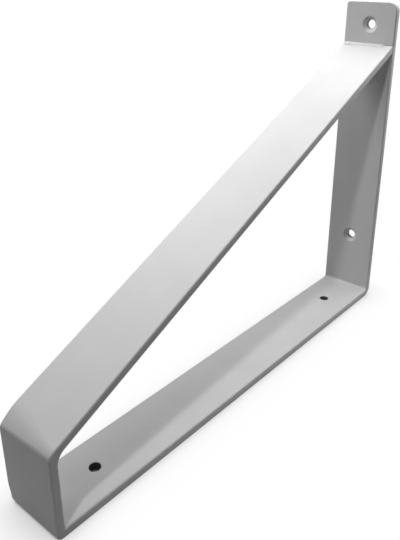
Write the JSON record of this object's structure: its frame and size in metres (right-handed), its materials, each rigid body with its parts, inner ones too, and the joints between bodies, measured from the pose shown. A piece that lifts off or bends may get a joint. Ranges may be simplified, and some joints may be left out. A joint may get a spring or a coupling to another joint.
{
  "type": "shelf bracket",
  "caption": "Triangular shelf bracket bent from flat steel bar, with a wall leg, a shelf leg, a front lip and a welded brace.",
  "frame": {"origin": "middle of the shelf leg's outer face, halfway between the wall face and the front of the lip", "axes": "+Y out of the wall leg's outer face, into the wall; +Z from the shelf leg up the wall leg, as in the picture; +X along the bar's width. In use the bracket is usually turned over, with the shelf on its -Z face."},
  "size_m": [0.04, 0.32, 0.2335],
  "materials": {
    "powder_coat": "satin light grey powder coat, over the steel and its weld alike"
  },
  "bodies": {
    "root": {"bent_bar": "powder_coat", "weld_bead": "powder_coat"}
  },
  "joints": []
}
